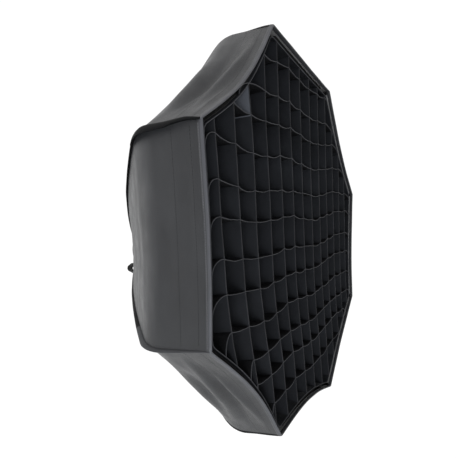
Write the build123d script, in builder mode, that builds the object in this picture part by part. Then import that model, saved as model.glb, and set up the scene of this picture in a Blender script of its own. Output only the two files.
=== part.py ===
from build123d import *
import os
from math import cos, radians, sin, sqrt

# Octabox, in millimetres. The origin is the centre of the rear mounting face, the
# light leaves along -Y and +Z is up. "Reach" is the distance in front of that face.

# Driving dimensions of the tent
SIDES = 8
HALF_TURN_PER_SIDE = 180 / SIDES
mouth_apothem = 475.0
mouth_reach = 600.0
shoulder_apothem = 487.5
shoulder_reach = 460.0
waist_apothem = 303.5
waist_reach = 210.0
neck_apothem = 100.0
neck_reach = 25.0
shoulder_radius = 98.0
waist_radius = 2700.0
fabric_thickness = 1.0
seam_gap = 0.25
welt_height = 14.0
welt_gap = 1.2
welt_thickness = 2.4

# Rods
rod_radius = 2.0
rod_inset = 6.5
rod_front_reach = 588.0
rod_end_gap = 0.4
cap_radius = 3.2
cap_length = 10.0
cap_overhang = 3.0
cap_edge = 1.5
pocket_outer = 4.5
pocket_bore = 3.35
pocket_length = 58.0
pocket_floor = 1.2
pocket_end_gap = 0.2

# Mouth binding and edge tapes
binding_depth = 6.0
binding_outer = 476.2
binding_inner = 471.0
tape_width = 24.0
tape_length = 300.0
tape_thickness = 2.5
hook_face = 470.6
loop_face = 470.3
corner_radius = 60.0

# Egg-crate grid
grid_front_reach = 590.0
grid_depth = 40.0
strip_thickness = 1.6
column_count = 13
column_pitch = 68.0
row_count = 12
row_pitch = 72.5
slot_width = 2.2
slot_play = 0.1
strip_end_gap = 2.2

# Diffusers
front_diffuser_reach = 545.0
diffuser_thickness = 1.0
hem_thickness = 2.0
inner_diffuser_apothem = 296.0
inner_hem_outer = 2.2
inner_hem_inner = 0.2
inner_hem_half_width = 0.7
strap_overlap = 12.0
strap_hook_gap = 7.5
strap_drop = 1.4
strap_position = 0.44
strap_width = 20.0
strap_thickness = 1.2
hook_outer = 4.2

# Speedring and mount adapter
ring_bore = 66.08
ring_front = 16.0
ring_rear = 1.0
socket_radius = 84.5
socket_outer = 3.8
socket_bore = 2.15
socket_depth = 10.0
socket_stand = 12.0
socket_face_half = 5.0
flange_radius = 74.0
flange_thickness = 5.0
washer_gap = 1.0
barrel_radius = 66.0
barrel_stand = 0.3
throat_radius = 50.0
throat_chamfer = 0.8
lug_neck_wall = 6.0
lug_neck_length = 3.0
lug_reach = 11.0
lug_width = 26.0
lug_thickness = 5.0
lug_count = 3
retainer_radius = 72.0
retainer_thickness = 2.5
screw_circle = 58.0
screw_count = 4
screw_radius = 1.6
screw_play = 0.1
screw_length = 12.0
screw_head_radius = 3.5
screw_head_height = 2.0
screw_recess_radius = 1.4
screw_recess_depth = 1.2
edge_play = 0.4
clearance = 0.05

# Rotation lock, on the ring's +X side
lock_reach = 11.5
lock_plane = Plane(origin=(0, -lock_reach, 0), x_dir=(0, 0, 1), z_dir=(1, 0, 0))
shoe_width = 10.0
shoe_height = 7.0
shoe_length = 7.5
shoe_play = 0.1
shoe_pocket_start = 4.0
shoe_pocket_depth = 16.0
lock_screw_radius = 2.5
screw_bite = 3.5
shoe_bore_depth = 5.5
groove_depth = 0.4
groove_width = 0.8
groove_to_pocket_end = 1.1
clip_radius = 3.4
clip_thickness = 0.7
clip_mouth = 2.4
knob_radius = 11.0
knob_lobes = 6
lobe_radius = 4.0
lobe_offset = 2.0
knob_hub_radius = 7.0
knob_hub_length = 4.0
knob_length = 10.0
knob_edge = 1.2
knob_stand = 0.6
knob_bore_depth = 8.0

# Cuff round the neck
cuff_outer = 1.5
cuff_inner = 3.0
cuff_width = 10.0
cuff_taper = 20
cuff_notch_margin = 8.0
cuff_notch_length = 30.0
cuff_notch_start = 80.0

# Webbing pull loop on the cuff's lower left side
loop_side = 225.0
loop_rear_reach = 6.0
loop_foot = 99.6
loop_line = [(18, loop_foot), (38, loop_foot), (27, 129), (-38, loop_foot), (-18, loop_foot)]
loop_bend = [1.5, 8, 1.5]
webbing_thickness = 2.0
webbing_width = 16.0
rivet_radius = 1.6
rivet_reach = 18.0
rivet_head_height = 1.2
rivet_length = 7.0
rivet_points = [(24, -rivet_reach), (-24, -rivet_reach)]

CORNER_FACTOR = 1 / cos(radians(HALF_TURN_PER_SIDE))
side_angles = [360 / SIDES * k for k in range(SIDES)]
corner_angles = [angle + HALF_TURN_PER_SIDE for angle in side_angles]

os.makedirs("parts", exist_ok=True)


def save(piece, name):
    """Label a finished piece and write it as its own STEP file."""
    piece.label = name
    export_step(piece, f"parts/{name}.step")


def radial_plane(angle):
    """A plane through the axis: local x is the radius, local y is the reach."""
    c, s = cos(radians(angle)), sin(radians(angle))
    return Plane(origin=(0, 0, 0), x_dir=(c, 0, s), z_dir=(s, 0, -c))


def level(reach):
    """A plane across the axis, whose normal points to the front."""
    return Plane.XZ.offset(reach)


def inset(points, distance):
    """Move a line from mouth to neck sideways, towards the axis."""
    steps = [Vector(b[0] - a[0], b[1] - a[1]).normalized() for a, b in zip(points, points[1:])]
    normals = [Vector(step.Y, -step.X) for step in steps]
    moved = []
    for index, point in enumerate(points):
        before = normals[max(index - 1, 0)]
        after = normals[min(index, len(normals) - 1)]
        shift = (before + after) * (distance / (1 + before.dot(after)))
        moved.append((point[0] + shift.X, point[1] + shift.Y))
    return moved


def wall_apothem(reach):
    """Outer apothem of the straight front wall at a given reach."""
    part = (mouth_reach - reach) / (mouth_reach - shoulder_reach)
    return mouth_apothem + part * (shoulder_apothem - mouth_apothem)


def tent_line(scale, front_reach):
    """The cover's outer line, from just behind the mouth to the neck."""
    return [
        (wall_apothem(front_reach) * scale, front_reach),
        (shoulder_apothem * scale, shoulder_reach),
        (waist_apothem * scale, waist_reach),
        (neck_apothem * scale, neck_reach),
    ]


def band_section(line, outer_shift, inner_shift):
    """The section of a bent sheet between two distances inside a line."""
    with BuildSketch() as section:
        with BuildLine():
            outer_radii = [shoulder_radius - outer_shift, waist_radius - outer_shift]
            inner_radii = [shoulder_radius - inner_shift, waist_radius - inner_shift]
            outside = FilletPolyline(*inset(line, outer_shift), radius=outer_radii)
            inside = FilletPolyline(*inset(line, inner_shift), radius=inner_radii)
            Line(outside @ 0, inside @ 0)
            Line(outside @ 1, inside @ 1)
        make_face()
    return section.sketch


def octagon(apothem, mode=Mode.ADD):
    """An octagon with flats at the top, bottom, left and right."""
    RegularPolygon(
        apothem, SIDES, major_radius=False, rotation=HALF_TURN_PER_SIDE, mode=mode
    )


def soft_octagon(apothem, mode=Mode.ADD):
    """The same octagon with its corners rounded to clear the rods."""
    with BuildSketch() as shape:
        octagon(apothem)
        fillet(shape.vertices(), corner_radius)
    add(shape.sketch, mode=mode)


def half_chord(offset, apothem):
    """Half the width of an octagon at some distance from its centre line."""
    return min(apothem, apothem * sqrt(2) - abs(offset))


def together(name, pieces):
    """Several separate solids of one kind, kept in one node."""
    with BuildPart() as group:
        add(pieces)
    save(group.part, name)


# Cover: eight gores, each a folded panel between two seams
cover_front = mouth_reach - binding_depth - 0.2
gore_section = band_section(tent_line(1, cover_front), 0, fabric_thickness)
for index, angle in enumerate(side_angles):
    with BuildPart() as gore:
        with BuildSketch(radial_plane(angle)):
            add(gore_section)
        extrude(amount=mouth_apothem / 2, both=True)
        low_seam = radial_plane(angle - HALF_TURN_PER_SIDE).offset(-seam_gap)
        high_seam = radial_plane(angle + HALF_TURN_PER_SIDE).offset(seam_gap)
        split(bisect_by=low_seam, keep=Keep.BOTTOM)
        split(bisect_by=high_seam, keep=Keep.TOP)
    save(gore.part, f"gore_{index + 1}")

# Folded black binding that stands up along each seam
seam_section = band_section(tent_line(CORNER_FACTOR, cover_front), -welt_height, -welt_gap)
binding_pieces = []
for angle in corner_angles:
    with BuildPart() as seam_binding:
        with BuildSketch(radial_plane(angle)):
            add(seam_section)
        extrude(amount=welt_thickness / 2, both=True)
    binding_pieces.append(seam_binding.part)
together("seam_bindings", binding_pieces)

# Binding round the mouth
with BuildPart() as mouth_binding:
    with BuildSketch(level(mouth_reach)):
        octagon(binding_outer)
        octagon(binding_inner, Mode.SUBTRACT)
    extrude(amount=-binding_depth)
save(mouth_binding.part, "mouth_binding")

# Cuff that closes the cover's neck round the speedring, drilled for the loop's rivets
side = Vector(cos(radians(loop_side)), 0, sin(radians(loop_side)))
along_side = Vector(side.Z, 0, -side.X)
loop_plane = Plane(origin=(0, 0, 0), x_dir=along_side, z_dir=(0, -1, 0))
rivet_plane = Plane(origin=(0, 0, 0), x_dir=along_side, z_dir=side)
with BuildPart() as neck_cuff:
    with BuildSketch(level(neck_reach - fabric_thickness)):
        octagon(neck_apothem - cuff_outer)
    extrude(amount=-cuff_width, taper=cuff_taper)
    with BuildSketch(level(neck_reach - fabric_thickness)):
        octagon(neck_apothem - cuff_inner)
    extrude(amount=-cuff_width, taper=cuff_taper, mode=Mode.SUBTRACT)
    with BuildSketch(rivet_plane.offset(loop_foot)):
        with Locations(*rivet_points):
            Circle(rivet_radius + clearance)
    extrude(amount=-cuff_width, mode=Mode.SUBTRACT)
    with BuildSketch(lock_plane.offset(cuff_notch_start)):
        with Locations((0, neck_reach - lock_reach)):
            Rectangle(2 * knob_radius + cuff_notch_margin, cuff_notch_length)
    extrude(amount=cuff_notch_length, mode=Mode.SUBTRACT)
save(neck_cuff.part, "neck_cuff")

# Rods: each runs inside a seam from the mouth to its socket
socket_slope = Vector(waist_apothem - neck_apothem, (waist_reach - neck_reach) / CORNER_FACTOR)
socket_axis = -socket_slope.normalized()
rod_line = inset(tent_line(CORNER_FACTOR, rod_front_reach), rod_inset)
neck_point = rod_line[-1]
socket_run = (neck_point[0] - socket_radius) / -socket_axis.X
socket_face = (socket_radius, neck_point[1] + socket_run * socket_axis.Y)
rod_end = (
    socket_face[0] + socket_axis.X * (socket_depth - rod_end_gap),
    socket_face[1] + socket_axis.Y * (socket_depth - rod_end_gap),
)
rod_points = rod_line[:-1] + [rod_end]
rod_radii = [shoulder_radius - rod_inset, waist_radius - rod_inset]


def socket_plane(angle, distance):
    """A plane across a socket's axis; its normal points out of the socket."""
    local = (socket_face[0] - socket_axis.X * distance, socket_face[1] - socket_axis.Y * distance)
    frame = radial_plane(angle)
    origin = frame.from_local_coords(Vector(local[0], local[1], 0))
    ahead = frame.from_local_coords(Vector(local[0] - socket_axis.X, local[1] - socket_axis.Y, 0))
    return Plane(origin=origin, z_dir=ahead - origin)


cap_pieces = []
pocket_pieces = []
socket_pieces = []
hook_pieces = []
strap_pieces = []
for index, angle in enumerate(corner_angles):
    with BuildLine(radial_plane(angle)) as rod_path:
        FilletPolyline(*rod_points, radius=rod_radii)
    path = rod_path.line
    tip_plane = Plane(origin=path @ 0, z_dir=path % 0)
    with BuildPart() as rod:
        with BuildSketch(tip_plane):
            Circle(rod_radius)
        sweep(path=path)
    save(rod.part, f"rod_{index + 1}")

    with BuildPart() as cap:
        with BuildSketch(tip_plane.offset(-cap_overhang)):
            Circle(cap_radius)
        extrude(amount=cap_length)
        fillet(cap.faces().sort_by(Axis.Y)[0].edges(), cap_edge)
        with BuildSketch(tip_plane.offset(-clearance)):
            Circle(rod_radius + clearance)
        extrude(amount=cap_length, mode=Mode.SUBTRACT)
    cap_pieces.append(cap.part)

    with BuildPart() as pocket:
        with BuildSketch(tip_plane.offset(-cap_overhang - pocket_end_gap - pocket_floor)):
            Circle(pocket_outer)
        extrude(amount=pocket_length)
        with BuildSketch(tip_plane.offset(-cap_overhang - pocket_end_gap)):
            Circle(pocket_bore)
        extrude(amount=pocket_length, mode=Mode.SUBTRACT)
    pocket_pieces.append(pocket.part)

    with BuildPart() as socket:
        with BuildSketch(socket_plane(angle, -socket_depth)):
            Circle(socket_outer)
            Circle(socket_bore, mode=Mode.SUBTRACT)
        extrude(amount=socket_depth + socket_stand)
    socket_pieces.append(socket.part)

    hook_centre = path @ strap_position
    with BuildPart() as hook:
        with BuildSketch(Plane(origin=hook_centre, z_dir=path % strap_position)):
            Circle(hook_outer)
            Circle(rod_radius + clearance, mode=Mode.SUBTRACT)
        extrude(amount=3, both=True)
    hook_pieces.append(hook.part)

    hook_radius = sqrt(hook_centre.X**2 + hook_centre.Z**2)
    strap_start = inner_diffuser_apothem * CORNER_FACTOR - strap_overlap
    strap_end = hook_radius - strap_hook_gap
    with BuildPart() as strap:
        with BuildSketch(radial_plane(angle)):
            with Locations(((strap_start + strap_end) / 2, -hook_centre.Y - strap_drop)):
                Rectangle(strap_end - strap_start, strap_thickness)
        extrude(amount=strap_width / 2, both=True)
    strap_pieces.append(strap.part)
inner_reach = -hook_centre.Y

together("rod_tip_caps", cap_pieces)
together("rod_pockets", pocket_pieces)
together("rod_sockets", socket_pieces)
together("strap_hooks", hook_pieces)
together("diffuser_straps", strap_pieces)

# Inner diffuser with its hem
with BuildPart() as inner_diffuser:
    with BuildSketch(level(inner_reach)):
        soft_octagon(inner_diffuser_apothem)
    extrude(amount=diffuser_thickness / 2, both=True)
save(inner_diffuser.part, "inner_diffuser")

with BuildPart() as inner_diffuser_hem:
    with BuildSketch(level(inner_reach)):
        soft_octagon(inner_diffuser_apothem + inner_hem_outer)
        soft_octagon(inner_diffuser_apothem + inner_hem_inner, Mode.SUBTRACT)
    extrude(amount=inner_hem_half_width, both=True)
save(inner_diffuser_hem.part, "inner_diffuser_hem")


def side_tapes(front_reach, inner_face, outer_line):
    """One straight tape on each side, between a flat inner face and a given outer line."""
    tapes = []
    for angle in side_angles:
        with BuildPart() as tape:
            with BuildSketch(radial_plane(angle)):
                with BuildLine():
                    Polyline(
                        (inner_face, front_reach),
                        (outer_line(front_reach), front_reach),
                        (outer_line(front_reach - tape_width), front_reach - tape_width),
                        (inner_face, front_reach - tape_width),
                        close=True,
                    )
                make_face()
            extrude(amount=tape_length / 2, both=True)
        tapes.append(tape.part)
    return tapes


def wall_face(reach):
    """Just inside the cover's inner face on the front wall."""
    return wall_apothem(reach) - fabric_thickness - 0.2


def edge_frame(reach, depth, apothem, thickness):
    """An octagonal band on edge, with rounded corners."""
    with BuildPart() as band:
        with BuildSketch(level(reach)):
            soft_octagon(apothem)
            soft_octagon(apothem - thickness, Mode.SUBTRACT)
        extrude(amount=-depth)
    return band.part


# Front diffuser: sheet, hem band and hook-and-loop tapes
loop_back = loop_face - tape_thickness
grid_tape_reach = grid_front_reach - 4
diffuser_tape_reach = front_diffuser_reach - 3
together("grid_hook_tapes", side_tapes(grid_tape_reach, hook_face, wall_face))
together("diffuser_hook_tapes", side_tapes(diffuser_tape_reach, hook_face, wall_face))
together("grid_loop_tapes", side_tapes(grid_tape_reach, loop_back, lambda reach: loop_face))
together("diffuser_loop_tapes", side_tapes(diffuser_tape_reach, loop_back, lambda reach: loop_face))

band_apothem = loop_back - clearance
with BuildPart() as front_diffuser:
    with BuildSketch(level(front_diffuser_reach)):
        soft_octagon(band_apothem - hem_thickness - clearance)
    extrude(amount=-diffuser_thickness)
save(front_diffuser.part, "front_diffuser")
save(edge_frame(front_diffuser_reach, tape_width + 4, band_apothem, hem_thickness), "diffuser_hem")

# Egg-crate grid: border, columns slotted at the back and rows slotted at the front
save(edge_frame(grid_front_reach, grid_depth, band_apothem, strip_thickness), "grid_border")
column_offsets = [(k - (column_count - 1) / 2) * column_pitch for k in range(column_count)]
row_offsets = [(k - (row_count - 1) / 2) * row_pitch for k in range(row_count)]
strip_apothem = band_apothem - strip_thickness
grid_middle = -grid_front_reach + grid_depth / 2
slot_depth = grid_depth / 2 + slot_play


def grid_strip(plane, offset, crossings, side):
    """One strip of the grid, slotted half through where it meets the crossing strips."""
    half_length = half_chord(offset, strip_apothem) - strip_end_gap
    with BuildPart() as strip:
        with BuildSketch(plane.offset(offset)):
            with Locations((grid_middle, 0)):
                Rectangle(grid_depth, 2 * half_length)
            slots = [(grid_middle + side * slot_depth / 2 - side * slot_play, z) for z in crossings]
            with Locations([slot for slot in slots if abs(slot[1]) < half_length]):
                Rectangle(slot_depth, slot_width, mode=Mode.SUBTRACT)
        extrude(amount=strip_thickness / 2, both=True)
    return strip.part


across = Plane(origin=(0, 0, 0), x_dir=(0, 1, 0), z_dir=(0, 0, 1))
columns = [grid_strip(Plane.YZ, x, row_offsets, 1) for x in column_offsets]
rows = [grid_strip(across, z, column_offsets, -1) for z in row_offsets]
together("grid_columns", columns)
together("grid_rows", rows)

# Speedring: turned ring with a sloping rim, eight socket bores and the lock's slot
face_run = Vector(-socket_axis.Y, socket_axis.X)
rim_top = (socket_face[0] - face_run.X * socket_face_half, socket_face[1] - face_run.Y * socket_face_half)
rim_low = (socket_face[0] + face_run.X * socket_face_half, socket_face[1] + face_run.Y * socket_face_half)
flange_top = flange_thickness + washer_gap
with BuildPart() as speedring:
    with BuildSketch(radial_plane(0)):
        with BuildLine():
            Polyline(
                (ring_bore, flange_top),
                (ring_bore, ring_front),
                (rim_top[0] - 3, ring_front),
                rim_top,
                rim_low,
                (rim_low[0], ring_rear),
                (flange_radius + 0.3, ring_rear),
                (flange_radius + 0.3, flange_top),
                close=True,
            )
        make_face()
    revolve(axis=Axis.Y)
    for angle in corner_angles:
        with BuildSketch(socket_plane(angle, -socket_depth - clearance)):
            Circle(socket_outer + clearance)
        extrude(amount=socket_depth + 8, mode=Mode.SUBTRACT)
    with BuildSketch(lock_plane.offset(ring_bore - shoe_pocket_start)):
        Rectangle(shoe_width, shoe_height)
    extrude(amount=shoe_pocket_depth, mode=Mode.SUBTRACT)
    with BuildSketch(lock_plane.offset(ring_bore)):
        Circle(lock_screw_radius + clearance)
    extrude(amount=ring_bore, mode=Mode.SUBTRACT)
save(speedring.part, "speedring")

# Mount adapter: flange, barrel, throat and three bayonet lugs
retainer_reach = ring_front + barrel_stand
with BuildPart() as mount_adapter:
    with BuildSketch(level(0)):
        Circle(flange_radius)
    extrude(amount=flange_thickness)
    with BuildSketch(level(0)):
        Circle(barrel_radius)
    extrude(amount=retainer_reach)
    with BuildSketch(level(0)):
        Circle(throat_radius + lug_neck_wall)
    extrude(amount=-lug_neck_length)
    with BuildSketch(level(-lug_neck_length)):
        Circle(throat_radius + lug_neck_wall)
        with PolarLocations(throat_radius + lug_neck_wall, lug_count, 90):
            Rectangle(2 * lug_neck_wall, lug_width)
        Circle(throat_radius + lug_reach, mode=Mode.INTERSECT)
    extrude(amount=-lug_thickness)
    with BuildSketch(level(retainer_reach)):
        Circle(throat_radius)
    extrude(amount=-retainer_reach - lug_neck_length - lug_thickness, mode=Mode.SUBTRACT)
    with BuildSketch(level(retainer_reach)):
        with PolarLocations(screw_circle, screw_count, 45):
            Circle(screw_radius + screw_play)
    extrude(amount=-screw_length, mode=Mode.SUBTRACT)
    chamfer(mount_adapter.edges().filter_by(GeomType.CIRCLE).sort_by(Axis.Y)[-1], throat_chamfer)
save(mount_adapter.part, "mount_adapter")

with BuildPart() as glide_washer:
    with BuildSketch(level(flange_thickness + clearance)):
        Circle(flange_radius - edge_play)
        Circle(barrel_radius + edge_play, mode=Mode.SUBTRACT)
    extrude(amount=washer_gap - 2 * clearance)
save(glide_washer.part, "glide_washer")

with BuildPart() as retainer_ring:
    with BuildSketch(level(retainer_reach)):
        Circle(retainer_radius)
        Circle(throat_radius, mode=Mode.SUBTRACT)
        with PolarLocations(screw_circle, screw_count, 45):
            Circle(screw_radius + 2 * screw_play, mode=Mode.SUBTRACT)
    extrude(amount=retainer_thickness)
save(retainer_ring.part, "retainer_ring")

with BuildPart() as retainer_screws:
    with BuildSketch(level(retainer_reach + retainer_thickness)):
        with PolarLocations(screw_circle, screw_count, 45):
            Circle(screw_head_radius)
    extrude(amount=screw_head_height)
    with BuildSketch(level(retainer_reach + retainer_thickness + screw_head_height)):
        with PolarLocations(screw_circle, screw_count, 45):
            RegularPolygon(screw_recess_radius, 6)
    extrude(amount=-screw_recess_depth, mode=Mode.SUBTRACT)
    with BuildSketch(level(retainer_reach + retainer_thickness)):
        with PolarLocations(screw_circle, screw_count, 45):
            Circle(screw_radius)
    extrude(amount=-screw_length)
save(retainer_screws.part, "retainer_screws")

# Rotation lock: the captive screw turns, the threaded shoe slides against the barrel
shoe_inner = barrel_radius + 3 * clearance
shoe_outer = shoe_inner + shoe_length
pocket_end = ring_bore - shoe_pocket_start + shoe_pocket_depth
clip_start = pocket_end - groove_to_pocket_end
knob_start = rim_low[0] + knob_stand
with BuildPart() as brake_shoe:
    with BuildSketch(lock_plane.offset(shoe_inner)):
        Rectangle(shoe_width - 2 * shoe_play, shoe_height - 2 * shoe_play)
    extrude(amount=shoe_outer - shoe_inner)
    with BuildSketch(Plane.XZ):
        Circle(shoe_inner + shoe_play)
    extrude(amount=2 * lock_reach, mode=Mode.SUBTRACT)
    with BuildSketch(lock_plane.offset(shoe_outer)):
        Circle(lock_screw_radius + clearance)
    extrude(amount=-shoe_bore_depth, mode=Mode.SUBTRACT)
save(brake_shoe.part, "brake_shoe")

with BuildPart() as lock_screw:
    with BuildSketch(lock_plane.offset(shoe_outer - screw_bite)):
        Circle(lock_screw_radius)
    extrude(amount=knob_start + knob_bore_depth - (shoe_outer - screw_bite))
    with BuildSketch(lock_plane.offset(clip_start)):
        Circle(lock_screw_radius)
        Circle(lock_screw_radius - groove_depth, mode=Mode.SUBTRACT)
    extrude(amount=groove_width, mode=Mode.SUBTRACT)
save(lock_screw.part, "lock_screw")

with BuildPart() as screw_clip:
    with BuildSketch(lock_plane.offset(clip_start + clearance)):
        Circle(clip_radius)
        Circle(lock_screw_radius - groove_depth + clearance, mode=Mode.SUBTRACT)
        with Locations((clip_radius, 0)):
            Rectangle(2 * clip_radius, clip_mouth, mode=Mode.SUBTRACT)
    extrude(amount=clip_thickness)
save(screw_clip.part, "screw_clip")

with BuildPart() as lock_knob:
    with BuildSketch(lock_plane.offset(knob_start)):
        Circle(knob_hub_radius)
    extrude(amount=knob_hub_length)
    with BuildSketch(lock_plane.offset(knob_start + knob_hub_length)):
        Circle(knob_radius)
        with PolarLocations(knob_radius + lobe_offset, knob_lobes):
            Circle(lobe_radius, mode=Mode.SUBTRACT)
    extrude(amount=knob_length)
    fillet(lock_knob.faces().sort_by(Axis.X)[-1].edges(), knob_edge)
    with BuildSketch(lock_plane.offset(knob_start)):
        Circle(lock_screw_radius + clearance)
    extrude(amount=knob_bore_depth + shoe_play, mode=Mode.SUBTRACT)
save(lock_knob.part, "lock_knob")

# Webbing pull loop on the neck cuff, held by two rivets
with BuildPart() as pull_loop:
    with BuildSketch(loop_plane.offset(loop_rear_reach)):
        with BuildLine():
            FilletPolyline(*loop_line, radius=loop_bend)
        trace(line_width=webbing_thickness)
    extrude(amount=webbing_width)
    with BuildSketch(rivet_plane.offset(loop_foot + webbing_thickness)):
        with Locations(*rivet_points):
            Circle(rivet_radius + clearance)
    extrude(amount=-2 * webbing_thickness, mode=Mode.SUBTRACT)
save(pull_loop.part, "pull_loop")

with BuildPart() as loop_rivets:
    with BuildSketch(rivet_plane.offset(loop_foot + webbing_thickness / 2 + clearance)):
        with Locations(*rivet_points):
            Circle(2 * rivet_radius)
    extrude(amount=rivet_head_height)
    with BuildSketch(rivet_plane.offset(loop_foot + webbing_thickness / 2 + clearance)):
        with Locations(*rivet_points):
            Circle(rivet_radius)
    extrude(amount=-rivet_length)
save(loop_rivets.part, "loop_rivets")
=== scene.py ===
import math

import bmesh
import bpy
import numpy as np
from mathutils import Euler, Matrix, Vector, noise


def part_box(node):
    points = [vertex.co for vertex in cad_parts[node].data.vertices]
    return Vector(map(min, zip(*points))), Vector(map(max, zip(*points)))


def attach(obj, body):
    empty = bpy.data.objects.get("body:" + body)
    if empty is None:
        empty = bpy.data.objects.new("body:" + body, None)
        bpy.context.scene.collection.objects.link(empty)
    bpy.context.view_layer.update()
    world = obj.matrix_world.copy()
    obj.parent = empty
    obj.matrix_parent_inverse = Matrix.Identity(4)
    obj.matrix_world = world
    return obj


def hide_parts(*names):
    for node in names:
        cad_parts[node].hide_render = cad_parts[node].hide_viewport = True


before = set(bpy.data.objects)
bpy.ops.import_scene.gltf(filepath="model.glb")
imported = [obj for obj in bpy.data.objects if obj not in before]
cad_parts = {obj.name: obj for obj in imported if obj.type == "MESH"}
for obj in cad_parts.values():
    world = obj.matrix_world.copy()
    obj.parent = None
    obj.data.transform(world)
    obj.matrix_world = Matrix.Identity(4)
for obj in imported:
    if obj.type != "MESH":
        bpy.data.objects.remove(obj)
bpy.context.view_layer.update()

# ---------------------------------------------------------------- the object's sizes, in metres
# "Reach" is the distance in front of the rear mounting face, "back" the way along the
# cover from the mouth towards the neck. Sides are counted from the right over the top.
SIDES = 8
HALF_ANGLE = math.pi / SIDES
LEFT, UPPER_LEFT, LOWER_LEFT = 4, 3, 5

# Corners of the cover's section: apothem and reach
MOUTH = (0.475, 0.600)
SHOULDER = (0.4875, 0.460)
WAIST = (0.3035, 0.210)
NECK = (0.100, 0.0255)
SHOULDER_RADIUS = 0.098
SHOULDER_END = 0.22
WAIST_RADIUS = 2.7
SECTION_POINTS = 1500
CLOTH = 0.0008

# How far each side of the mouth is drawn in halfway, and how that fades along the cover
SCALLOPS = (0.010, 0.014, 0.002, 0.024, 0.008, 0.022, 0.024, 0.006)
SCALLOP_FADE = 0.15
CONE_PULL = 0.007
CONE_START = 0.12
CONE_RUN = 0.58
RIM_POINTS = 40
CORNER_SOFTNESS = 0.008

STITCH_LENGTH = 0.003
STITCH_RADIUS = 0.00035
STITCH_SPAN = 0.985
STITCH_PITCH = 0.0045
LONG_STITCH_PITCH = 0.0060

GRID_FRONT = 0.592
GRID_DEPTH = 0.045
COLUMN_PITCH = 0.068
COLUMN_COUNT = 13
ROW_PITCH = 0.0725
ROW_COUNT = 12
BORDER_APOTHEM = 0.4665
BORDER_LEAN = 0.007
BORDER_FADE = 0.2
STRIP_HALF = 0.0005
BEAD_HALF = 0.00055
BEAD_DEPTH = 0.0018
STRIP_SPAN = 0.47

DIFFUSER_REACH = 0.543
DIFFUSER_APOTHEM = 0.465
DIFFUSER_HALF = 0.0003
DIFFUSER_SCALLOP = 0.62
INNER_REACH = sum(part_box("inner_diffuser")[k][1] for k in (0, 1)) / -2
INNER_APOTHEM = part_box("inner_diffuser")[1][0]
INNER_DIP = 0.014
INNER_INSET = 0.001


# ---------------------------------------------------------------- geometry helpers
def filleted(points, radii, step=0.004):
    """Straight runs joined by tangent arcs, as closely spaced points."""
    points = [np.array(p, float) for p in points]
    line = [points[0]]
    for before, corner, after, radius in zip(points, points[1:], points[2:], radii):
        a = (before - corner) / np.linalg.norm(before - corner)
        b = (after - corner) / np.linalg.norm(after - corner)
        half = math.acos(float(np.clip(a @ b, -1, 1))) / 2
        run = radius / math.tan(half)
        centre = corner + (a + b) / np.linalg.norm(a + b) * radius / math.sin(half)
        start = corner + a * run - centre
        end = corner + b * run - centre
        turn = math.pi - 2 * half
        count = max(3, int(radius * turn / step))
        for k in range(count + 1):
            part = k / count
            arm = start * math.sin((1 - part) * turn) + end * math.sin(part * turn)
            line.append(centre + arm / math.sin(turn))
    line.append(points[-1])
    return np.array(line)


def lengths(line):
    """The way along a line to each of its points."""
    return np.r_[0, np.cumsum(np.linalg.norm(np.diff(line, axis=0), axis=1))]


def resample(line, count):
    """The same line as evenly spaced points."""
    way = lengths(line)
    at = np.linspace(0, way[-1], count)
    return np.stack([np.interp(at, way, line[:, k]) for k in range(line.shape[1])], axis=1)


SECTION = filleted([MOUTH, SHOULDER, WAIST, NECK], [SHOULDER_RADIUS, WAIST_RADIUS])
TENT = resample(SECTION, SECTION_POINTS)
TENT_WAY = lengths(TENT)
TENT_LENGTH = float(TENT_WAY[-1])
TENT_STEP = np.gradient(TENT, axis=0)
TENT_STEP /= np.linalg.norm(TENT_STEP, axis=1)[:, None]


def tent(back):
    """Apothem, reach and outward normal of the cover's section."""
    back = np.asarray(back, float)
    inside = np.clip(back, 0, TENT_LENGTH)
    step = np.stack([np.interp(inside, TENT_WAY, TENT_STEP[:, k]) for k in (0, 1)], axis=-1)
    place = np.stack([np.interp(inside, TENT_WAY, TENT[:, k]) for k in (0, 1)], axis=-1)
    place = place + step * (back - inside)[..., None]
    return place[..., 0], place[..., 1], -step[..., 1], step[..., 0]


def directions(angle):
    """Radial and tangential unit vectors at an angle round the axis."""
    c, s = math.cos(angle), math.sin(angle)
    return np.array([c, 0, s]), np.array([-s, 0, c])


def rough(x, y, z=0.0):
    """Smooth noise from -1 to 1 for arrays of coordinates."""
    x, y = np.broadcast_arrays(np.asarray(x, float), np.asarray(y, float))
    flat = [noise.noise(Vector((a, b, z))) for a, b in zip(x.ravel(), y.ravel())]
    return np.array(flat).reshape(x.shape)


def bump_at(x, centre, width):
    """A soft bump of height 1."""
    return np.exp(-(((np.asarray(x) - centre) / width) ** 2))


def profile(x, steps):
    """A value that runs straight between pairs of place and value."""
    return np.interp(x, *np.transpose(steps))


def bow(u):
    """How far the cloth between two rods has come in, from 0 at the seams to 1 halfway."""
    return np.clip(1 - np.asarray(u) ** 2, 0, 1) ** 1.25


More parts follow.
